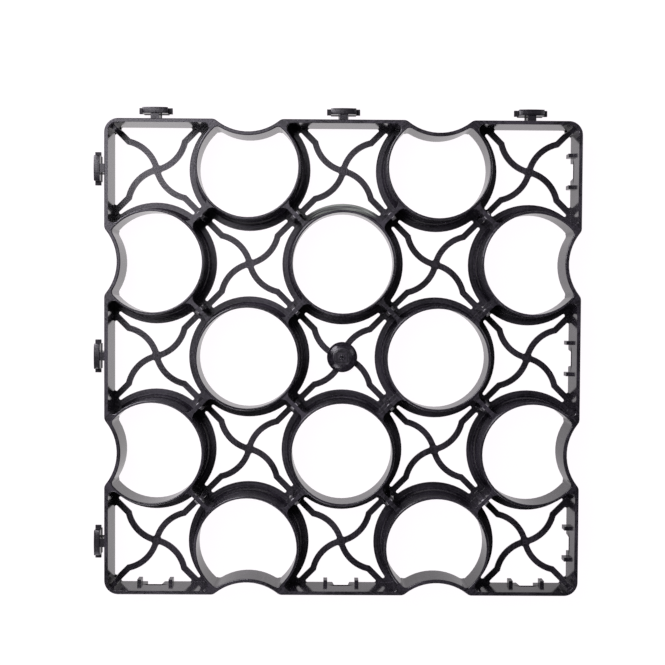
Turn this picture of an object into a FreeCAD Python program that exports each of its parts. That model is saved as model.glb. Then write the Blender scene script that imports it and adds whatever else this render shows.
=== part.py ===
import FreeCAD, Part
import math
import os

from FreeCAD import Vector

# A square plastic paver grid, moulded in one piece: twelve rings and thirteen cells with
# curved cross ribs alternate inside a straight frame. The origin is at the middle of the
# grid, on the ground. Lengths are in millimetres and +Z is up.
SIZES = {
    "pitch": 100.0,
    "side": 498.0,
    "height": 40.0,
    "wall": 4.0,
    "corner_radius": 14.5,
    "bore_radius": 52.7,
    "rim_width": 2.6,
    "rim_rise": 1.2,
    "flange_radius": 64.9,
    "floor_thickness": 6.0,
    "foot_width": 2.6,
    "foot_rise": 4.5,
    "foot_draft": 1.2,
    "notch_radius": 52.7,
    "notch_depth": 13.0,
    "shoulder_radius": 8.0,
    "bore_corner_radius": 5.0,
    "web_thickness": 4.2,
    "lobe_radius": 6.9,
    "node_recess_length": 30.0,
    "edge_foot_angle": 260.0,
    "gusset_radius": 5.5,
    "spine_reach": 4.0,
    "spine_draft": 1.7,
    "corner_spine_height": 31.0,
    "corner_spine_reach": 5.5,
    "rib_width": 6.6,
    "rib_kink": 30.0,
    "rib_bow": 6.2,
    "crossing_radius": 2.0,
    "tip_radius": 1.7,
    "button_radius": 16.3,
    "button_flat_radius": 8.6,
    "button_edge": 6.6,
    "button_height": 10.5,
    "stem_width": 8.0,
    "stem_flare": 1.0,
    "stem_height": 20.0,
    "head_width": 35.4,
    "head_crown": 24.0,
    "head_height": 20.5,
    "head_shoulder": 19.0,
    "ear_height": 8.5,
    "head_thickness": 6.6,
    "hook_clearance": 0.4,
    "guide_width": 27.0,
    "guide_height": 10.0,
    "guide_depth": 3.2,
    "slot_top": 13.7,
    "slot_mouth": 18.3,
    "slot_height": 22.0,
    "tab_width": 4.2,
    "tab_spacing": 33.6,
    "tab_reach": 4.8,
    "tab_height": 22.0,
    "tab_rise": 6.0,
}

# Which way each cross spins, seen from above: rows from +Y to -Y, columns from -X to +X.
SPINS = {
    (-2, 2): 1, (0, 2): -1, (2, 2): -1,
    (-1, 1): 1, (1, 1): -1,
    (-2, 0): 1, (0, 0): -1, (2, 0): -1,
    (-1, -1): -1, (1, -1): 1,
    (-2, -2): -1, (0, -2): 1, (2, -2): 1,
}

doc = FreeCAD.newDocument("paver_grid")
sheet = doc.addObject("Spreadsheet::Sheet", "dims")
for row, (name, value) in enumerate(SIZES.items(), start=1):
    sheet.set("A%d" % row, name)
    sheet.set("B%d" % row, repr(value))
    sheet.setAlias("B%d" % row, name)
doc.recompute()


def size(name):
    return float(sheet.get(name))


grid = doc.addObject("PartDesign::Body", "paver_grid")
grid.Label = "paver_grid"


def new_body(name):
    """A set of like pieces that is worked out apart and then joined to the grid or cut from it."""
    return doc.addObject("PartDesign::Body", name)


def combine(body, kind):
    boolean = grid.newObject("PartDesign::Boolean", body.Name + "_" + kind.lower())
    boolean.Type = kind
    boolean.Group = [body]
    boolean.Refine = False
    return boolean


def origin_part(body, role):
    return next(o for o in body.Origin.OriginFeatures if o.Role == role)


def new_sketch(body, name, plane="XY_Plane", height=None):
    sketch = body.newObject("Sketcher::SketchObject", name)
    sketch.AttachmentSupport = [(origin_part(body, plane), "")]
    sketch.MapMode = "FlatFace"
    if height:
        sketch.setExpression("AttachmentOffset.Base.z", height)
    return sketch


def extrude(body, kind, name, sketch, length=None, reverse=False, draft=None):
    feature = body.newObject("PartDesign::" + kind, name)
    feature.Profile = sketch
    feature.Refine = False
    feature.Reversed = reverse
    if length:
        feature.setExpression("Length", length)
    else:
        feature.Type = "ThroughAll"
    if draft:
        feature.setExpression("TaperAngle", draft)
    sketch.Visibility = False
    return feature


def revolve(body, name, sketch, angle=360.0):
    feature = body.newObject("PartDesign::Revolution", name)
    feature.Profile = sketch
    feature.Refine = False
    feature.ReferenceAxis = (sketch, ["Axis0"])
    feature.Angle = angle
    feature.Midplane = angle < 360.0
    return feature


def step_round(body, name, count=4, angle=360.0):
    step = body.newObject("PartDesign::PolarPattern", name)
    step.Axis = (origin_part(body, "Z_Axis"), [""])
    step.Angle = angle
    step.Occurrences = count
    return step


def step_along(body, name, span, count):
    step = body.newObject("PartDesign::LinearPattern", name)
    step.Direction = (origin_part(body, "X_Axis"), [""])
    step.setExpression("Length", span)
    step.Occurrences = count
    return step


def step_mirror(body, name, plane):
    step = body.newObject("PartDesign::Mirrored", name)
    step.MirrorPlane = (origin_part(body, plane), [""])
    return step


def repeat(body, name, features, steps):
    pattern = body.newObject("PartDesign::MultiTransform", name)
    pattern.Originals = features
    pattern.Refine = False
    pattern.Transformations = steps
    body.Tip = pattern
    return pattern


def draw(sketch, pieces):
    """Each piece is a start, an end and, where it is an arc, its centre."""
    for start, end, centre in pieces:
        if centre is None:
            sketch.addGeometry(Part.LineSegment(start, end), False)
            continue
        outward = ((start + end) * 0.5 - centre).normalize()
        middle = centre + outward * (start - centre).Length
        if (start - centre).cross(end - centre).z < 0:
            start, end = end, start
        sketch.addGeometry(Part.Arc(start, middle, end), False)


def close_up(points, centres):
    """A closed outline through the points; each stretch is a line or has a centre."""
    return [(p, q, c) for p, q, c in zip(points, points[1:] + points[:1], centres)]


def flip(pieces):
    mirror = FreeCAD.Matrix(-1, 0, 0, 0, 0, 1, 0, 0, 0, 0, 1, 0, 0, 0, 0, 1)
    return [tuple(v and mirror.multVec(v) for v in piece) for piece in pieces]


def move(pieces, turn, offset=Vector()):
    placement = FreeCAD.Placement(offset, FreeCAD.Rotation(Vector(0, 0, 1), turn))
    return [tuple(v if v is None else placement.multVec(v) for v in piece) for piece in pieces]


def meeting(first, first_radius, second, second_radius, near):
    """The point on both circles that lies nearest to a given one."""
    across = second - first
    gap = across.Length
    along = (gap ** 2 + first_radius ** 2 - second_radius ** 2) / (2 * gap)
    aside = math.sqrt(first_radius ** 2 - along ** 2)
    foot = first + across * (along / gap)
    normal = Vector(-across.y, across.x, 0).normalize() * aside
    return min((foot + normal, foot - normal), key=lambda p: (p - near).Length)


def toward(centre, target, radius):
    return centre + (target - centre).normalize() * radius


PITCH = size("pitch")
HALF = size("side") / 2
INNER = HALF - size("wall")
RING_OUTER = size("bore_radius") + size("rim_width")
NOTCH_CENTRE = HALF - size("notch_depth") + size("notch_radius")
NOTCH_WALL = size("notch_radius") + size("wall")
DIAGONAL = Vector(1, 1, 0).normalize()
ACROSS = Vector(-1, 1, 0).normalize()


def frame_outline():
    """A square with rounded corners and two notches with soft shoulders in each side."""
    corner, shoulder, notch = size("corner_radius"), size("shoulder_radius"), size("notch_radius")
    level = HALF - shoulder
    aside = math.sqrt((notch + shoulder) ** 2 - (NOTCH_CENTRE - level) ** 2)
    points, centres = [], []
    for turn in range(4):
        spin = FreeCAD.Rotation(Vector(0, 0, 1), 90 * turn)
        corner_centre = Vector(HALF - corner, HALF - corner, 0)
        side = [corner_centre + Vector(corner, 0, 0), corner_centre + Vector(0, corner, 0)]
        side_centres = [corner_centre, None]
        for middle in (PITCH, -PITCH):
            notch_centre = Vector(middle, NOTCH_CENTRE, 0)
            for first, x in ((True, middle + aside), (False, middle - aside)):
                bend = Vector(x, level, 0)
                on_line, on_notch = bend + Vector(0, shoulder, 0), toward(bend, notch_centre, shoulder)
                side += [on_line, on_notch] if first else [on_notch, on_line]
                side_centres += [bend, notch_centre if first else None]
        points += [spin.multVec(point) for point in side]
        centres += [centre and spin.multVec(centre) for centre in side_centres]
    return close_up(points, centres)


def cell_sides(column, row):
    """What closes a cell on its +X, +Y, -X and -Y side."""
    return ["wall" if edge == 2 else "ring" for edge in (column, row, -column, -row)]


def pocket_corner(first, second):
    """The corner between two walls of a cell that face +X and +Y: its points and arc centres."""
    reach = INNER - 2 * PITCH
    if first == second == "ring":
        return web_side()
    if first == second:
        radius = size("corner_radius") - size("wall")
        centre = Vector(reach - radius, reach - radius, 0)
    else:
        radius = size("gusset_radius")
        along = reach - radius
        back = PITCH - math.sqrt((RING_OUTER + radius) ** 2 - along ** 2)
        centre = Vector(back, along, 0) if second == "wall" else Vector(along, back, 0)
    start = Vector(centre.x + radius, centre.y, 0)
    end = Vector(centre.x, centre.y + radius, 0)
    if first == "ring":
        start = toward(centre, Vector(PITCH, 0, 0), radius)
    if second == "ring":
        end = toward(centre, Vector(0, PITCH, 0), radius)
    return [start, end], [centre]


def web_side():
    """One side of the web that joins two rings, with a rounded lobe beside each ring."""
    lobe, ring = size("lobe_radius"), Vector(0, PITCH, 0)
    web = DIAGONAL * (PITCH / math.sqrt(2) - size("web_thickness") / 2)
    back = web.Length - lobe
    aside = ring.dot(ACROSS) - math.sqrt((RING_OUTER + lobe) ** 2 - (ring.dot(DIAGONAL) - back) ** 2)
    centres = [DIAGONAL * back - ACROSS * aside, None, DIAGONAL * back + ACROSS * aside]
    start = toward(centres[0], Vector(PITCH, 0, 0), lobe)
    end = toward(centres[2], ring, lobe)
    return [start, web - ACROSS * aside, web + ACROSS * aside, end], centres


def cell_pocket(column, row):
    """The open upper part of a cell, between the ring walls, the nodes and the frame."""
    sides = cell_sides(column, row)
    points, centres = [], []
    for turn in range(4):
        spin = FreeCAD.Rotation(Vector(0, 0, 1), 90 * turn)
        corner_points, corner_centres = pocket_corner(sides[turn], sides[(turn + 1) % 4])
        side_centre = Vector(0, PITCH, 0) if sides[(turn + 1) % 4] == "ring" else None
        points += [spin.multVec(point) for point in corner_points]
        centres += [centre and spin.multVec(centre) for centre in corner_centres + [side_centre]]
    return move(close_up(points, centres), 0, Vector(column, row, 0) * PITCH)


def rib_gap(side):
    """The hole between two neighbouring cross arms and the side of the cell that faces +Y."""
    half = size("rib_width") / 2
    kink, bow = size("rib_kink"), size("rib_bow")
    chord = kink * math.sqrt(2)
    radius = (chord ** 2 / 4 + bow ** 2) / (2 * bow)
    near_centre = DIAGONAL * (chord / 2) + ACROSS * (radius - bow)
    far_centre = Vector(-near_centre.y, near_centre.x, 0)

    near_offset = half - near_centre.dot(ACROSS)
    near_kink = near_centre + ACROSS * near_offset + DIAGONAL * math.sqrt((radius - half) ** 2 - near_offset ** 2)
    far_offset = half - far_centre.dot(DIAGONAL)
    far_kink = far_centre + DIAGONAL * far_offset + ACROSS * math.sqrt((radius + half) ** 2 - far_offset ** 2)
    crossing = size("crossing_radius")
    hub = meeting(near_centre, radius - half - crossing, far_centre, radius + half + crossing, Vector(0, half, 0))
    hub_start = toward(far_centre, hub, radius + half)
    hub_end = toward(near_centre, hub, radius - half)
    tip = size("tip_radius")
    if side == "ring":
        ring = Vector(0, PITCH, 0)
        across = half + tip
        reach = ring.dot(DIAGONAL)
        along = reach - math.sqrt((size("flange_radius") + tip) ** 2 - (reach - across) ** 2)
        tip_centre = DIAGONAL * along + ACROSS * across
        tip_end = toward(tip_centre, ring, tip)
    else:
        ring = None
        level = INNER - 2 * PITCH - tip
        tip_centre = Vector(level - (half + tip) * math.sqrt(2), level, 0)
        tip_end = tip_centre + Vector(0, tip, 0)
    tip_start = tip_centre - ACROSS * tip
    right = [hub_end, near_kink, tip_start, tip_end]
    left = [Vector(-tip_end.x, tip_end.y, 0), Vector(-tip_start.x, tip_start.y, 0), far_kink, hub_start]
    left_tip = Vector(-tip_centre.x, tip_centre.y, 0)
    centres = [near_centre, None, tip_centre, ring, left_tip, None, far_centre, hub]
    return close_up(right + left, centres)


def cell_gaps(column, row, spin):
    sides = cell_sides(column, row)
    pieces = []
    for turn in range(4):
        gap = rib_gap(sides[(turn + 1) % 4])
        if spin < 0:
            gap = flip(gap)
        pieces += move(gap, 90 * turn, Vector(column, row, 0) * PITCH)
    return pieces


def edge_bore():
    """The opening of an edge ring: the ring's bore with the notch wall arching into it."""
    radius = size("bore_corner_radius")
    bore = size("bore_radius")
    notch = Vector(0, NOTCH_CENTRE - 2 * PITCH, 0)
    corner = meeting(Vector(), bore - radius, notch, NOTCH_WALL + radius, Vector(bore, bore, 0))
    ring_end = toward(Vector(), corner, bore)
    wall_end = toward(notch, corner, NOTCH_WALL)
    mirror = [Vector(-p.x, p.y, 0) for p in (corner, ring_end, wall_end)]
    bottom = Vector(0, -bore, 0)
    points = [bottom, ring_end, wall_end, mirror[2], mirror[1]]
    return close_up(points, [Vector(), corner, notch, mirror[0], Vector()])


def build_frame_block():
    sketch = new_sketch(grid, "frame_plan")
    draw(sketch, frame_outline())
    extrude(grid, "Pad", "frame_block", sketch, "dims.height")


def cut_bores():
    sketch = new_sketch(grid, "bore_plan")
    sketch.addGeometry(Part.Circle(Vector(PITCH, 0, 0), Vector(0, 0, 1), size("bore_radius")), False)
    bore = extrude(grid, "Pocket", "bore", sketch, reverse=True)
    repeat(grid, "bores", [bore], [step_round(grid, "bore_round")])
    sketch = new_sketch(grid, "edge_bore_plan")
    draw(sketch, move(edge_bore(), 0, Vector(PITCH, 2 * PITCH, 0)))
    bore = extrude(grid, "Pocket", "edge_bore", sketch, reverse=True)
    steps = [step_mirror(grid, "edge_bore_mirror", "YZ_Plane"), step_round(grid, "edge_bore_round")]
    repeat(grid, "edge_bores", [bore], steps)


def cut_cells():
    """The open upper part of all thirteen cells, down to the level of the ribs."""
    for name, column, row in (("middle", 0, 0), ("inner", 1, 1), ("edge", 0, 2), ("corner", 2, 2)):
        sketch = new_sketch(grid, name + "_cell_plan", height="dims.floor_thickness")
        draw(sketch, cell_pocket(column, row))
        pocket = extrude(grid, "Pocket", name + "_cell", sketch, reverse=True)
        if column or row:
            repeat(grid, name + "_cells", [pocket], [step_round(grid, name + "_cell_round")])


def cut_rib_gaps():
    sketch = new_sketch(grid, "rib_plan")
    for (column, row), spin in SPINS.items():
        draw(sketch, cell_gaps(column, row, spin))
    extrude(grid, "Pocket", "rib_gaps", sketch, "dims.floor_thickness", reverse=True)


def add_feet():
    """The sloping foot round each ring wall; at an edge ring it stops inside the shoulders."""
    inner = RING_OUTER - size("rim_width") / 2
    foot = RING_OUTER + size("foot_draft")
    toe, rise = foot + size("foot_width"), size("foot_rise")
    base, top = size("floor_thickness"), size("height") - size("rim_rise")
    corners = [(inner, base / 2), (toe, base / 2), (toe, base), (foot, base + rise), (RING_OUTER, top), (inner, top)]
    section = close_up([Vector(-x, y, 0) for x, y in corners], [None] * len(corners))
    for name, row, angle in (("feet", 0, 360.0), ("edge_feet", 2, size("edge_foot_angle"))):
        body = new_body(name)
        sketch = new_sketch(body, name + "_section", "YZ_Plane", "dims.pitch")
        centre = row * PITCH
        draw(sketch, move(section, 0, Vector(centre, 0, 0)))
        sketch.addGeometry(Part.LineSegment(Vector(centre, 0, 0), Vector(centre, base, 0)), True)
        foot_ring = revolve(body, name + "_ring", sketch, angle)
        steps = [step_round(body, name + "_round")]
        if row:
            steps.insert(0, step_mirror(body, name + "_mirror", "YZ_Plane"))
        repeat(body, name + "_rings", [foot_ring], steps)
        combine(body, "Fuse")


def spine(start, end):
    """The root of an upright rib along a diagonal, as wide as the cross arms that it meets."""
    half = size("rib_width") / 2
    ends = (DIAGONAL * start, DIAGONAL * end)
    points = [ends[0] - ACROSS * half, ends[1] - ACROSS * half, ends[1] + ACROSS * half, ends[0] + ACROSS * half]
    return close_up(points, [None] * len(points))


def at_each_node(sketch, pieces):
    """A node joins two rings; its pieces are drawn as for the node at +X+Y of the middle cell."""
    for column in range(-2, 2):
        for row in range(-2, 2):
            turn = 90 * ((column + row) % 2)
            draw(sketch, move(pieces, turn, Vector(column + 0.5, row + 0.5, 0) * PITCH))


def add_spines():
    """Upright ribs carry the ends of the cross arms up to the webs and into the frame's corners."""
    body = new_body("spines")
    reach = size("web_thickness") / 2 + size("spine_reach")
    sketch = new_sketch(body, "spine_plan", height="dims.floor_thickness")
    at_each_node(sketch, spine(-reach, reach))
    rise = "dims.height - dims.rim_rise - dims.floor_thickness"
    extrude(body, "Pad", "node_spines", sketch, rise, draft="-dims.spine_draft")
    radius, wall = size("corner_radius"), size("wall")
    inside = (HALF - radius) * math.sqrt(2) + radius - wall
    sketch = new_sketch(body, "corner_spine_plan", height="dims.floor_thickness")
    for turn in range(4):
        draw(sketch, move(spine(inside - size("corner_spine_reach"), inside + wall / 2), 90 * turn))
    rise = "dims.corner_spine_height - dims.floor_thickness"
    extrude(body, "Pad", "corner_spines", sketch, rise, draft="-dims.spine_draft")
    combine(body, "Fuse")


def node_recess():
    """The dip on a node between the rims of the two rings that it joins."""
    reach = size("node_recess_length") / 2
    ring = ACROSS * (PITCH / math.sqrt(2))
    aside = ring.Length - math.sqrt(RING_OUTER ** 2 - reach ** 2)
    ahead, beside = DIAGONAL * reach, ACROSS * aside
    points = [ahead - beside, ahead + beside, beside - ahead, -ahead - beside]
    return close_up(points, [None, ring, None, -ring])


def cut_recesses():
    """Ring rims stand a little above the nodes between them."""
    sketch = new_sketch(grid, "node_plan", height="dims.height - dims.rim_rise")
    at_each_node(sketch, node_recess())
    extrude(grid, "Pocket", "node_recesses", sketch, reverse=True)


def add_button():
    """The low round boss over the middle cross, where the plastic was injected."""
    sketch = new_sketch(grid, "button_section", "XZ_Plane")
    radius, flat = size("button_radius"), size("button_flat_radius")
    edge, top = size("button_edge"), size("button_height")
    polygon(sketch, [(0, 0), (radius, 0), (radius, edge), (flat, top), (0, top)])
    sketch.addGeometry(Part.LineSegment(Vector(), Vector(0, top, 0)), True)
    revolve(grid, "button", sketch)


def polygon(sketch, points, shift=0.0, centres=None):
    corners = [Vector(x + shift, y, 0) for x, y in points]
    centres = centres or [None] * len(corners)
    draw(sketch, close_up(corners, [centre and centre + Vector(shift, 0, 0) for centre in centres]))


def three_on_two_sides(body, features):
    """Pieces at the left cell of a side become three sets, and three more on the next side."""
    along = step_along(body, body.Name + "_along", "4 * dims.pitch", 3)
    repeat(body, body.Name + "_all", features, [along, step_round(body, body.Name + "_round", 2, 90.0)])


def add_connectors():
    """T-shaped hooks on two sides, which the slotted sides of the next grids drop over."""
    body, left = new_body("connectors"), -2 * PITCH
    hook = "(dims.wall + dims.tab_reach + dims.hook_clearance)"
    stem, flare, rise = size("stem_width") / 2, size("stem_flare"), size("stem_height")
    sketch = new_sketch(body, "stem_section", "XZ_Plane", "-dims.side / 2 + dims.wall / 2")
    polygon(sketch, [(-stem - flare, 0), (stem + flare, 0), (stem, rise), (-stem, rise)], left)
    length = "dims.wall / 2 + %s + dims.head_thickness / 2" % hook
    stem_pad = extrude(body, "Pad", "stem", sketch, length, True)
    half, crown = size("head_width") / 2, size("head_crown") / 2
    shoulder, top, ear = size("head_shoulder"), size("head_height"), size("ear_height")
    lift = top - shoulder
    crown_centre = Vector(0, top - (crown ** 2 + lift ** 2) / (2 * lift), 0)
    sketch = new_sketch(body, "head_section", "XZ_Plane", "-dims.side / 2 - %s" % hook)
    right = [(half, 0), (half, ear), (crown, ear), (crown, shoulder)]
    outline = right + [(-x, y) for x, y in reversed(right)]
    polygon(sketch, outline, left, [None, None, None, crown_centre, None, None, None, None])
    head_pad = extrude(body, "Pad", "head", sketch, "dims.head_thickness", True)
    sketch = new_sketch(body, "guide_section", "YZ_Plane", "-2 * dims.pitch - dims.guide_width / 2")
    face = HALF + size("wall") + size("tab_reach") + size("hook_clearance")
    root = face + size("head_thickness") / 2
    nose, level = face - size("guide_depth"), size("guide_height")
    polygon(sketch, [(nose, 0), (root, 0), (root, level), (face, level)])
    guide_pad = extrude(body, "Pad", "guide", sketch, "dims.guide_width")
    three_on_two_sides(body, [stem_pad, head_pad, guide_pad])
    combine(body, "Fuse")


def cut_slots():
    """Slots in the other two sides that are open at the ground."""
    body = new_body("slots")
    ceiling, mouth, rise = size("slot_top") / 2, size("slot_mouth") / 2, size("slot_height")
    slope = (mouth - ceiling) / rise
    below = size("wall")
    sketch = new_sketch(body, "slot_section", "XZ_Plane", "dims.side / 2 - 1.5 * dims.wall")
    mouth += slope * below
    polygon(sketch, [(-mouth, -below), (mouth, -below), (ceiling, rise), (-ceiling, rise)], -2 * PITCH)
    slot = extrude(body, "Pad", "slot", sketch, "2 * dims.wall")
    three_on_two_sides(body, [slot])
    combine(body, "Cut")


def add_tabs():
    """Upright tabs inside the wall on both sides of each slot, with sloping tops."""
    body = new_body("tabs")
    root, face = -HALF + size("wall") / 2, -INNER
    end = face + size("tab_reach")
    low, high = size("tab_height"), size("tab_height") + size("tab_rise")
    pads = []
    for name, sign in (("left_tab", "-"), ("right_tab", "+")):
        place = "-2 * dims.pitch %s dims.tab_spacing / 2 - dims.tab_width / 2" % sign
        sketch = new_sketch(body, name + "_section", "YZ_Plane", place)
        polygon(sketch, [(root, 0), (end, 0), (end, low), (face, high), (root, high)])
        pads.append(extrude(body, "Pad", name, sketch, "dims.tab_width"))
    three_on_two_sides(body, pads)
    combine(body, "Fuse")


build_frame_block()
add_connectors()
cut_slots()
cut_bores()
cut_cells()
add_feet()
add_spines()
cut_recesses()
cut_rib_gaps()
add_tabs()
add_button()
grid.Tip.Refine = True
doc.recompute()

for item in doc.Objects:
    if "Invalid" in item.State or "Error" in item.State:
        raise RuntimeError("%s did not build" % item.Label)
if grid.Shape.isNull() or not grid.Shape.isValid() or len(grid.Shape.Solids) != 1:
    raise RuntimeError("the grid is not one valid solid")
print("volume, cubic centimetres: %.1f" % (grid.Shape.Volume / 1000))
print("box:", grid.Shape.BoundBox)

os.makedirs("parts", exist_ok=True)
grid.Shape.exportStep("parts/%s.step" % grid.Label)
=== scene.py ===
import math

import bmesh
import bpy
from mathutils import Matrix, Vector, noise


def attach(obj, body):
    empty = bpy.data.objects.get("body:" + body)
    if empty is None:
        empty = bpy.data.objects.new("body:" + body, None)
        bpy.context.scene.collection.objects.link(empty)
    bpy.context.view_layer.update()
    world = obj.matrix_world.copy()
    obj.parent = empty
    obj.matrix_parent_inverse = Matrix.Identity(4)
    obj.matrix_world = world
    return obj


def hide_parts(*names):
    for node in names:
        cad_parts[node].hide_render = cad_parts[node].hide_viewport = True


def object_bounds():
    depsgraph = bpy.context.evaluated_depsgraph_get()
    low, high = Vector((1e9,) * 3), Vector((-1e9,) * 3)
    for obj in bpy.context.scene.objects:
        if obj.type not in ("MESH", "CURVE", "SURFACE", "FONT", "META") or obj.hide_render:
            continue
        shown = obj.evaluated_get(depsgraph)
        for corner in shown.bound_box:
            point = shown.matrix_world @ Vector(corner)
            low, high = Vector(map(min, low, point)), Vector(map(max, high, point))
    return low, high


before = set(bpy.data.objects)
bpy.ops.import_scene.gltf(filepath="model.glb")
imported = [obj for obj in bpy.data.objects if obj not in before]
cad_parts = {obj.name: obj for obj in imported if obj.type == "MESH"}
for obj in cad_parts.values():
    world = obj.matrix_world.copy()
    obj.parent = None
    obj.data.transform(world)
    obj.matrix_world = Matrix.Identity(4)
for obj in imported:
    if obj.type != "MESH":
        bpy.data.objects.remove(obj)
cad_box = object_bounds()


# The grid is one moulding in black recycled plastic: rings, cross ribs, frame, hooks and tabs
# came out of the tool together. Its edges are slightly rounded and its skin is satin, with
# faint flow marks and small specks from the mixed regrind.
class Link:
    """A socket of a material's nodes. Arithmetic on it adds Math nodes."""

    def __init__(self, tree, socket=None):
        self.tree = tree
        self.socket = socket

    def make(self, kind, settings, inputs, output=0):
        node = self.tree.nodes.new("ShaderNode" + kind)
        for name, value in settings.items():
            if name == "stops":
                ramp = node.color_ramp
                while len(ramp.elements) < len(value):
                    ramp.elements.new(1.0)
                for element, (place, colour) in zip(ramp.elements, value):
                    element.position = place
                    element.color = colour
            else:
                setattr(node, name, value)
        for name, value in inputs.items():
            if isinstance(value, Link):
                self.tree.links.new(value.socket, node.inputs[name])
            else:
                node.inputs[name].default_value = value
        return Link(self.tree, node.outputs[output] if node.outputs else None)

    def math(self, operation, first, second):
        return self.make("Math", {"operation": operation}, {0: first, 1: second})

    def __add__(self, other):
        return self.math("ADD", self, other)

    def __radd__(self, other):
        return self.math("ADD", other, self)

    def __sub__(self, other):
        return self.math("SUBTRACT", self, other)

    def __rsub__(self, other):
        return self.math("SUBTRACT", other, self)

    def __mul__(self, other):
        return self.math("MULTIPLY", self, other)

    def __rmul__(self, other):
        return self.math("MULTIPLY", other, self)


MM = 0.001
PITCH = 100.0 * MM
DIAGONAL = 0.7071


def new_material(name):
    material = bpy.data.materials.new(name)
    material.use_nodes = True
    material.node_tree.nodes.clear()
    return material, Link(material.node_tree)


def concentric(node, x, y):
    """The distance to the middle of the nearest ring. Rings stand on a lattice at 45 degrees."""
    step = PITCH * math.sqrt(2.0)
    folded = []
    for along in (DIAGONAL * x + DIAGONAL * y, DIAGONAL * y - DIAGONAL * x):
        place = node.math("FLOORED_MODULO", along, step)
        folded.append(place - 0.5 * step)
    square = folded[0] * folded[0] + folded[1] * folded[1]
    return node.math("SQRT", square, 0.0)


def mottle(node, vector, scale, detail):
    return node.make("TexNoise", {}, {"Vector": vector, "Scale": scale, "Detail": detail}, "Fac")


def clipped(node, value, low, high):
    return node.math("MINIMUM", node.math("MAXIMUM", value, low), high)


def tinted(node, share, under, over):
    """The colour under, with this share of the colour over laid on it."""
    return node.make("Mix", {"data_type": "RGBA"}, {0: share, 6: under, 7: over}, 2)


BLACK = (0.0060, 0.0052, 0.0076, 1.0)
GREY_BLACK = (0.0400, 0.0348, 0.0465, 1.0)
BLACK_BELOW, GREY_ABOVE = 0.42, 0.58
FLOW_ALONG, FLOW_ACROSS = 14.0, 620.0
PATCH_SCALE, GRAIN_SCALE = 30.0, 450.0
PATCH_SHARE, STREAK_SHARE, GRAIN_SHARE = 0.32, 0.34, 0.34
SPECK_GREY = (0.30, 0.30, 0.30, 1.0)
SPECK_SCALE, SPECK_SIZE, SPECK_RARITY, SPECK_STRENGTH = 110.0, 0.045, 0.72, 0.5
# The colour, place and streaks of a greenish painted glare on one ring's flange.
GLARE_GREEN = (0.390, 0.425, 0.370, 1.0)
GLARE_X, GLARE_Y, GLARE_REACH = -0.002, 0.158, 63.0 * MM
GLARE_NARROW, GLARE_SHORT, GLARE_THIN = 640.0, 500.0, 14000.0
GLARE_GAIN, GLARE_STREAK_SCALE, GLARE_STREAK_GAIN, GLARE_STREAK_GAP = 2.2, 1.6, 5.0, 1.9
FLANGE_TOP = 4.0 * MM
UPRIGHT_BELOW, LEVEL_ABOVE = 0.2, 0.95
EDGE_RADIUS, EDGE_GAIN = 0.35 * MM, 7.0
# How far out the hooks start, the share of painted shade that darkens them, and the level of their
# ears.
HOOK_REACH, HOOK_SHADE, EAR_LEVEL = 250.5 * MM, 0.75, 8.8 * MM
BUMP_STRENGTH, BUMP_DEPTH, BUMP_GRAIN = 0.8, 0.25 * MM, 0.7
SATIN, SATIN_PATCHES, SATIN_STREAKS = 0.14, 0.26, 0.24
POLISH, EDGE_POLISH, EAR_ROUGH = 0.12, 0.17, 0.65


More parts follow.
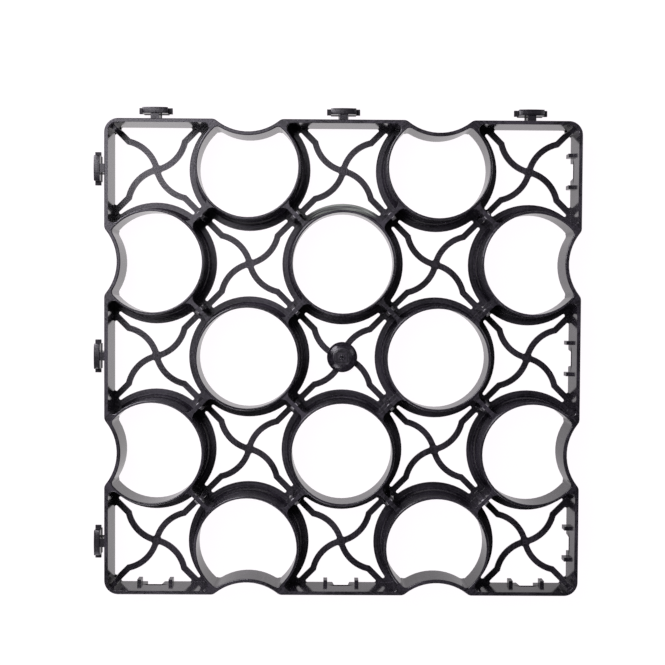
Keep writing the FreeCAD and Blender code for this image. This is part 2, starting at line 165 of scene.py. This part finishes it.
def black_plastic(name, dull, pale, edge_radius):
    """The moulding's plastic, mottled between these two tones."""
    material, node = new_material(name)
    place = node.make("TexCoord", {}, {}, "Object")
    x, y, z = [node.make("SeparateXYZ", {}, {"Vector": place}, axis) for axis in "XYZ"]

    # Flow marks follow the rings: the noise is long round them and fine across.
    reach = concentric(node, x, y)
    flow = {"X": FLOW_ALONG * x, "Y": FLOW_ALONG * y, "Z": FLOW_ACROSS * reach}
    drawn = node.make("CombineXYZ", {}, flow)
    streaks = mottle(node, drawn, scale=1.0, detail=3.0)
    patches = mottle(node, place, scale=PATCH_SCALE, detail=4.0)
    grain = mottle(node, place, scale=GRAIN_SCALE, detail=3.0)

    # Specks of dust and pale regrind, a few to each ring.
    dots = {"Vector": place, "Scale": SPECK_SCALE}
    near = node.make("TexVoronoi", {}, dots, "Distance")
    pick = node.make("TexVoronoi", {}, dots, "Color")
    chance = node.make("SeparateXYZ", {}, {"Vector": pick}, "X")
    rare = node.math("GREATER_THAN", chance, SPECK_RARITY)
    speck = node.math("LESS_THAN", near, SPECK_SIZE) * rare

    # A greenish painted glare on the flange at the back of one ring, streaked along the flow marks.
    off_x, off_y, off_ring = x - GLARE_X, y - GLARE_Y, reach - GLARE_REACH
    spread = GLARE_NARROW * off_x * off_x + GLARE_SHORT * off_y * off_y
    spread = spread + GLARE_THIN * off_ring * off_ring
    painted_glare = clipped(node, GLARE_GAIN - GLARE_GAIN * spread, 0.0, 1.0)
    glare_streaks = mottle(node, drawn, scale=GLARE_STREAK_SCALE, detail=5.0)
    painted_glare = painted_glare * clipped(node, GLARE_STREAK_GAIN * glare_streaks - GLARE_STREAK_GAP, 0.0, 1.0)
    painted_glare = painted_glare * node.math("LESS_THAN", z, FLANGE_TOP)

    tone = PATCH_SHARE * patches + STREAK_SHARE * streaks + GRAIN_SHARE * grain
    tones = [(BLACK_BELOW, dull), (GREY_ABOVE, pale)]
    mottled = node.make("ValToRGB", {"stops": tones}, {"Fac": tone})
    with_glare = tinted(node, painted_glare, mottled, GLARE_GREEN)
    dusty = tinted(node, SPECK_STRENGTH * speck, with_glare, SPECK_GREY)

    # Upright faces slid along the tool as the grid left it, so they are polished. So are the
    # corners and the slanted faces, which are rubbed the most.
    rounded = node.make("Bevel", {"samples": 8}, {"Radius": edge_radius})
    normal = node.make("NewGeometry", {}, {}, "Normal")
    facing = node.make("SeparateXYZ", {}, {"Vector": normal}, "Z")
    level = node.math("ABSOLUTE", facing, 0.0)
    upright = node.math("LESS_THAN", level, UPRIGHT_BELOW)
    slanted = (1.0 - upright) * node.math("LESS_THAN", level, LEVEL_ABOVE)
    same = node.make("VectorMath", {"operation": "DOT_PRODUCT"}, {0: normal, 1: rounded}, "Value")
    edge = node.math("MAXIMUM", node.math("MINIMUM", EDGE_GAIN * (1.0 - same), 1.0), slanted)

    # The hooks carry painted shade: their colour is darkened towards the dull tone. Their low ears
    # are rough and dull.
    away = node.math("MAXIMUM", node.math("ABSOLUTE", x, 0.0), node.math("ABSOLUTE", y, 0.0))
    on_hook = node.math("GREATER_THAN", away, HOOK_REACH)
    on_ear = on_hook * node.math("LESS_THAN", z, EAR_LEVEL)
    colour = tinted(node, HOOK_SHADE * on_hook, dusty, dull)

    height = (1.0 - upright) * (BUMP_GRAIN * grain + streaks)
    bumps = {"Strength": BUMP_STRENGTH, "Distance": BUMP_DEPTH, "Height": height}
    relief = node.make("Bump", {}, {**bumps, "Normal": rounded})
    satin = SATIN + SATIN_PATCHES * patches + SATIN_STREAKS * streaks
    skin_rough = satin - upright * (satin - POLISH)
    worn_rough = skin_rough - edge * (skin_rough - EDGE_POLISH)
    rough = worn_rough + on_ear * (EAR_ROUGH - worn_rough)
    finish = {"Base Color": colour, "Roughness": rough, "Normal": relief}
    node.make("OutputMaterial", {}, {"Surface": node.make("BsdfPrincipled", {}, finish)})
    return material


plastic = black_plastic("black_plastic", BLACK, GREY_BLACK, EDGE_RADIUS)
SHARP_ANGLE = math.radians(21.0)


def add_piece(name, form, material=plastic):
    """A finished piece of the moulding, smooth except at its real edges."""
    bmesh.ops.recalc_face_normals(form, faces=form.faces[:])
    for face in form.faces:
        face.smooth = True
    for edge in form.edges:
        edge.smooth = len(edge.link_faces) == 2 and edge.calc_face_angle() < SHARP_ANGLE
    mesh = bpy.data.meshes.new(name)
    form.to_mesh(mesh)
    form.free()
    mesh.materials.append(material)
    piece = bpy.data.objects.new(name, mesh)
    bpy.context.collection.objects.link(piece)
    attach(piece, "root")
    return piece


# The moulding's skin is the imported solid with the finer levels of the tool: the ribs and ring
# flanges are a thin plate, the tabs beside the slots are low, and the hooks are cut off at
# their roots, where their own heads take over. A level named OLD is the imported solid's.
HALF_SIDE, INNER_FACE, STUB_END = 249.0 * MM, 245.0 * MM, 253.0 * MM
PLATE_OLD, FOOT_OLD, PLATE_DROP = 6.0 * MM, 10.5 * MM, 4.0 * MM
BUTTON_RADIUS, BUTTON_SUNK = 16.3 * MM, 0.6
SLOT_HALF, SLOT_OLD, SLOT_TOP = 9.5 * MM, 22.0 * MM, 17.0 * MM
TAB_FACE, TAB_NEAR, TAB_FAR = 240.0 * MM, 14.0 * MM, 20.0 * MM
TAB_OLD, TAB_TOP, ABOVE_TAB = 22.0 * MM, 12.5 * MM, 30.0 * MM
STEM_REACH, STEM_OLD, STEM_TOP = 6.0 * MM, 20.0 * MM, 16.0 * MM
BORE_RADIUS, BORE_DRAFT = 52.7 * MM, 0.7 * MM
NODE_TOP, SPINE_TIP = 38.8 * MM, 33.0 * MM
SPINE_SPAN, WEB_CLEAR = 9.0 * MM, 3.1 * MM
BRIM, BRIM_ROUNDING, BRIM_FOLD = 40.0 * MM, 0.8 * MM, math.radians(50.0)
WELD, HAIR = 0.001 * MM, 0.02 * MM
BORE_SLACK, FACE_SLACK = 5.0 * HAIR, 10.0 * HAIR


def from_slot(along):
    """The distance along a side to the nearest hook or slot: they stand two pitches apart."""
    return abs((along + PITCH) % (2.0 * PITCH) - PITCH)


def settled(x, y, z):
    """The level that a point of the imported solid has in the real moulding."""
    if math.hypot(x, y) < BUTTON_RADIUS + HAIR and z > PLATE_OLD + HAIR:
        return z - (z - PLATE_OLD) * BUTTON_SUNK
    outside = max(abs(x), abs(y)) > HALF_SIDE - HAIR
    if not outside and PLATE_OLD - HAIR < z < FOOT_OLD + HAIR:
        return z - PLATE_DROP
    for across, along in ((x, y), (-y, x)):
        aside = from_slot(along)
        if across > INNER_FACE - HAIR and aside < SLOT_HALF and abs(z - SLOT_OLD) < HAIR:
            return SLOT_TOP
        on_tab = TAB_FACE < across < INNER_FACE + HAIR and TAB_NEAR < aside < TAB_FAR
        if on_tab and TAB_OLD - HAIR < z < ABOVE_TAB:
            return TAB_TOP
    for across, along in ((-x, y), (y, x)):
        if across > HALF_SIDE - HAIR and from_slot(along) < STEM_REACH and abs(z - STEM_OLD) < HAIR:
            return STEM_TOP
    return z


def from_ring(x, y):
    """The way to a point from the middle of the nearest ring."""
    column, row = round(x / PITCH), round(y / PITCH)
    if (column + row) % 2 == 0:
        over, up = x - column * PITCH, y - row * PITCH
        if abs(over) > abs(up):
            column += 1 if over > 0 else -1
        else:
            row += 1 if up > 0 else -1
    return Vector((x - column * PITCH, y - row * PITCH, 0.0))


def off_web(x, y):
    """How far a point near a node lies from the web between the node's two rings."""
    column, row = math.floor(x / PITCH), math.floor(y / PITCH)
    over, up = x - (column + 0.5) * PITCH, y - (row + 0.5) * PITCH
    if math.hypot(over, up) > SPINE_SPAN:
        return 0.0
    return abs(over + up if (column + row) % 2 == 0 else over - up) / math.sqrt(2.0)


def on_brim(edge):
    """Whether this edge is a corner along the top of a wall. The frame's inner one is sharp."""
    for vertex in edge.verts:
        reach = max(abs(vertex.co.x), abs(vertex.co.y))
        if abs(vertex.co.z - BRIM) > HAIR or abs(reach - INNER_FACE) < FACE_SLACK:
            return False
    return edge.calc_face_angle() > BRIM_FOLD


def whole(form):
    return form.verts[:] + form.edges[:] + form.faces[:]


def only(kind, items):
    """The items of one kind, out of those that an operator gives back."""
    return [item for item in items if isinstance(item, kind)]


def round_off(form, edges, radius):
    bmesh.ops.bevel(
        form, geom=edges, offset=radius, segments=2, profile=0.5, affect="EDGES", material=-1
    )


skin = bmesh.new()
skin.from_mesh(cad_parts["paver_grid"].data)
bmesh.ops.remove_doubles(skin, verts=skin.verts[:], dist=WELD)
for outward in (Vector((0.0, 1.0, 0.0)), Vector((-1.0, 0.0, 0.0))):
    cut = bmesh.ops.bisect_plane(
        skin, geom=whole(skin), plane_co=outward * STUB_END, plane_no=outward, clear_outer=True
    )
    bmesh.ops.edgeloop_fill(skin, edges=only(bmesh.types.BMEdge, cut["geom_cut"]))
for vertex in skin.verts:
    way = from_ring(vertex.co.x, vertex.co.y)
    if vertex.co.z < HAIR and abs(way.length - BORE_RADIUS) < BORE_SLACK:
        vertex.co += way.normalized() * BORE_DRAFT
    if abs(vertex.co.z - NODE_TOP) < HAIR and off_web(*vertex.co.xy) > WEB_CLEAR:
        vertex.co.z = SPINE_TIP
    vertex.co.z = settled(*vertex.co)
round_off(skin, [edge for edge in skin.edges if on_brim(edge)], BRIM_ROUNDING)
grid = add_piece("moulded_grid", skin)
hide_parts("paver_grid")

# Three T hooks stand on each of two sides. A head is a flat plate across the stem, rounded at
# its crown, with two thin ears that the next grid's slot slides over. The stem runs from the
# stub that the skin keeps into the back of the head.
HEAD_NEAR, HEAD_FAR = 258.4 * MM, 264.75 * MM
HEAD_HALF, HEAD_SHOULDER, HEAD_CROWN = 13.5 * MM, 15.5 * MM, 17.0 * MM
EAR_HALF, EAR_LOW, EAR_HIGH = 17.7 * MM, 5.8 * MM, 8.3 * MM
STEM_HALF, STEM_FOOT, STEM_OVERLAP = 4.6 * MM, 5.4 * MM, 1.0 * MM
HEAD_ROUNDING, STEM_ROUNDING = 0.35 * MM, 0.3 * MM
CROWN_STEPS = 6


def plate(form, outline, near, far, rounding):
    """A closed plate with this outline in X and Z, which runs from near to far along Y."""
    corners = [form.verts.new((x, near, z)) for x, z in outline]
    face = form.faces.new(corners)
    grown = bmesh.ops.extrude_face_region(form, geom=[face])["geom"]
    moved = only(bmesh.types.BMVert, grown)
    bmesh.ops.translate(form, verts=moved, vec=(0.0, far - near, 0.0))
    solid = set(corners + moved)
    round_off(form, [edge for edge in form.edges if solid.issuperset(edge.verts)], rounding)


def head_outline():
    side = [(HEAD_HALF, 0.0), (HEAD_HALF, EAR_LOW), (EAR_HALF, EAR_LOW), (EAR_HALF, EAR_HIGH)]
    side += [(HEAD_HALF, EAR_HIGH)]
    crown = []
    for step in range(CROWN_STEPS + 1):
        x = HEAD_HALF * (1.0 - 2.0 * step / CROWN_STEPS)
        crown.append((x, HEAD_CROWN - (HEAD_CROWN - HEAD_SHOULDER) * (x / HEAD_HALF) ** 2))
    return side + crown + [(-x, z) for x, z in reversed(side)]


def copied(form, items):
    """The vertices of a copy of these items."""
    return only(bmesh.types.BMVert, bmesh.ops.duplicate(form, geom=items)["geom"])


hooks = bmesh.new()
plate(hooks, head_outline(), HEAD_NEAR, HEAD_FAR, HEAD_ROUNDING)
stem_outline = [(STEM_FOOT, 0.0), (STEM_HALF, STEM_TOP), (-STEM_HALF, STEM_TOP), (-STEM_FOOT, 0.0)]
plate(hooks, stem_outline, STUB_END - STEM_OVERLAP, HEAD_NEAR + STEM_OVERLAP, STEM_ROUNDING)
middle_hook = whole(hooks)
for place in (-2.0 * PITCH, 2.0 * PITCH):
    bmesh.ops.translate(hooks, verts=copied(hooks, middle_hook), vec=(place, 0.0, 0.0))
left_row = copied(hooks, whole(hooks))
quarter_turn = Matrix.Rotation(math.pi / 2, 3, "Z")
bmesh.ops.rotate(hooks, verts=left_row, cent=(0, 0, 0), matrix=quarter_turn)
add_piece("t_hooks", hooks)

# The plastic was injected at the middle of the grid. The button there is a low dome with a
# faint ring on its top and the rough scar of the sprue, which was broken off.
BUTTON_PROFILE = [
    (0.0, 3.0), (16.35, 3.0), (16.35, 5.4), (16.1, 6.3), (15.4, 7.2), (14.0, 8.2), (12.4, 9.0),
    (10.6, 9.75), (9.2, 10.2), (8.7, 10.3), (8.5, 10.15), (8.2, 10.35), (5.6, 10.4), (3.6, 10.35),
    (3.1, 10.5), (2.6, 10.85), (2.1, 10.6), (1.6, 10.7), (1.1, 10.35), (0.8, 9.3), (0.0, 9.1),
]
BUTTON_STEPS = 72
SCAR_RADIUS, SCAR_FOOT = 3.3 * MM, 9.2 * MM
SCAR_DEPTH, SCAR_SCALE = 0.45 * MM, 800.0


def turned(profile, steps):
    """A closed round piece about the Z axis, spun from its profile in millimetres."""
    form = bmesh.new()
    line = [form.verts.new((radius * MM, 0.0, level * MM)) for radius, level in profile]
    edges = [form.edges.new(pair) for pair in zip(line, line[1:])]
    bmesh.ops.spin(
        form, geom=line + edges, axis=(0, 0, 1), cent=(0, 0, 0), steps=steps, angle=math.tau,
        use_merge=True,
    )
    bmesh.ops.remove_doubles(form, verts=form.verts[:], dist=WELD)
    return form


button = turned(BUTTON_PROFILE, BUTTON_STEPS)
for vertex in button.verts:
    if math.hypot(vertex.co.x, vertex.co.y) < SCAR_RADIUS and vertex.co.z > SCAR_FOOT:
        vertex.co.z += SCAR_DEPTH * noise.noise(vertex.co * SCAR_SCALE)
add_piece("gate_button", button)

# Ejector pins pushed the moulding off the tool at the nodes between two rings. Each left a round
# lip that stands out on both sides of the web, coloured pale as a painted highlight.
PIN_PROFILE = [
    (1.7, -2.4), (3.1, -2.4), (3.2, -0.8), (3.0, -0.3), (2.6, -0.1), (2.0, -0.2), (1.7, -0.6),
    (1.7, -2.4),
]
PIN_STEPS = 20
PIN_HIGHLIGHT_DULL = (0.090, 0.086, 0.096, 1.0)
PIN_HIGHLIGHT_PALE = (0.420, 0.410, 0.430, 1.0)
pin_highlight = black_plastic("pin_highlight_plastic", PIN_HIGHLIGHT_DULL, PIN_HIGHLIGHT_PALE, HAIR)

pins = bmesh.new()
mark = turned(PIN_PROFILE, PIN_STEPS)
mark_mesh = bpy.data.meshes.new("pin_mark")
mark.to_mesh(mark_mesh)
mark.free()
for column in range(-2, 2):
    for row in range(-2, 2):
        known = len(pins.verts)
        pins.from_mesh(mark_mesh)
        spot = Vector(((column + 0.5) * PITCH, (row + 0.5) * PITCH, NODE_TOP))
        pins.verts.ensure_lookup_table()
        bmesh.ops.translate(pins, verts=pins.verts[known:], vec=spot)
bpy.data.meshes.remove(mark_mesh)
add_piece("pin_marks", pins, pin_highlight)


# The floor is a white table that runs out of view. It is plain white to the camera and keeps a
# faint shadow under the grid. In reflections its glow carries painted shade: a little darker, and
# darkest on the side away from the key lamp.
FLOOR_SIZE = 8.0
FLOOR_COLOUR = (0.85, 0.85, 0.85, 1.0)
GLOW_COLOUR = (1.0, 0.960, 0.990, 1.0)
GLOW, GLOW_SHARE = 1.12, 0.9
MIRRORED_GLOW, MIRRORED_LEAN, LEAN_LIMIT = 0.76, 0.5, 0.5


def white_floor():
    material, node = new_material("white_floor")
    matte = node.make("BsdfDiffuse", {}, {"Color": FLOOR_COLOUR})
    camera_ray = node.make("LightPath", {}, {}, "Is Camera Ray")
    glossy_ray = node.make("LightPath", {}, {}, "Is Glossy Ray")
    place = node.make("TexCoord", {}, {}, "Object")
    x, y = [node.make("SeparateXYZ", {}, {"Vector": place}, axis) for axis in "XY"]
    toward_key = clipped(node, y - x, -LEAN_LIMIT, LEAN_LIMIT)
    mirrored = MIRRORED_GLOW + MIRRORED_LEAN * toward_key
    strength = GLOW - glossy_ray * (GLOW - mirrored)
    glow = node.make("Emission", {}, {"Color": GLOW_COLOUR, "Strength": strength})
    seen = camera_ray + glossy_ray
    surface = node.make("MixShader", {}, {"Fac": GLOW_SHARE * seen, 1: matte, 2: glow})
    node.make("OutputMaterial", {}, {"Surface": surface})
    return material


bpy.ops.mesh.primitive_plane_add(size=FLOOR_SIZE, location=(0.0, 0.0, cad_box[0].z))
floor = bpy.context.object
floor.name = "floor"
floor.data.materials.append(white_floor())


# The light comes from two soft boxes at the upper left, one above the other, and from two
# weaker ones on the right and at the lower left. The room beyond is dim, but white where the
# camera sees it.
LAMP_SPREAD = 0.41
LAMP_COLOUR = (1.0, 0.965, 1.05)
ROOM_LIGHT = 0.04


def soft_box(name, distance, azimuth, elevation, power):
    """A square lamp that faces the middle of the grid, as wide as its share of the distance."""
    data = bpy.data.lights.new(name, "AREA")
    data.shape = "SQUARE"
    data.size = distance * LAMP_SPREAD
    data.energy = power
    data.color = LAMP_COLOUR
    lamp = bpy.data.objects.new(name, data)
    turn, rise = math.radians(azimuth), math.radians(elevation)
    lamp.location = (
        distance * math.cos(rise) * math.cos(turn),
        distance * math.cos(rise) * math.sin(turn),
        distance * math.sin(rise),
    )
    lamp.rotation_euler = (-lamp.location).to_track_quat("-Z", "Y").to_euler()
    bpy.context.collection.objects.link(lamp)


soft_box("key", distance=1.5, azimuth=135.0, elevation=36.0, power=11.0)
soft_box("high_key", distance=1.5, azimuth=137.0, elevation=62.0, power=8.6)
soft_box("right_fill", distance=2.2, azimuth=22.0, elevation=36.0, power=6.0)
soft_box("left_fill", distance=2.2, azimuth=247.0, elevation=36.0, power=13.0)


def room():
    world = bpy.data.worlds.new("room")
    world.use_nodes = True
    world.node_tree.nodes.clear()
    node = Link(world.node_tree)
    camera_ray = node.make("LightPath", {}, {}, "Is Camera Ray")
    strength = ROOM_LIGHT + (1.0 - ROOM_LIGHT) * camera_ray
    light = node.make("Background", {}, {"Color": (1.0, 1.0, 1.0, 1.0), "Strength": strength})
    node.make("OutputWorld", {}, {"Surface": light})
    return world


bpy.context.scene.world = room()

# The camera looks down on the grid, from a little behind its middle.
lens = bpy.data.cameras.new("camera")
lens.sensor_width = 36.0
lens.lens = 59.305
lens.clip_end = 20.0
camera = bpy.data.objects.new("camera", lens)
camera.location = (-0.0189, 0.0600, 1.1834)
camera.rotation_euler = (-0.02851, -0.00697, 0.00581)
bpy.context.collection.objects.link(camera)
bpy.context.scene.camera = camera
bpy.context.scene.view_settings.view_transform = "Standard"
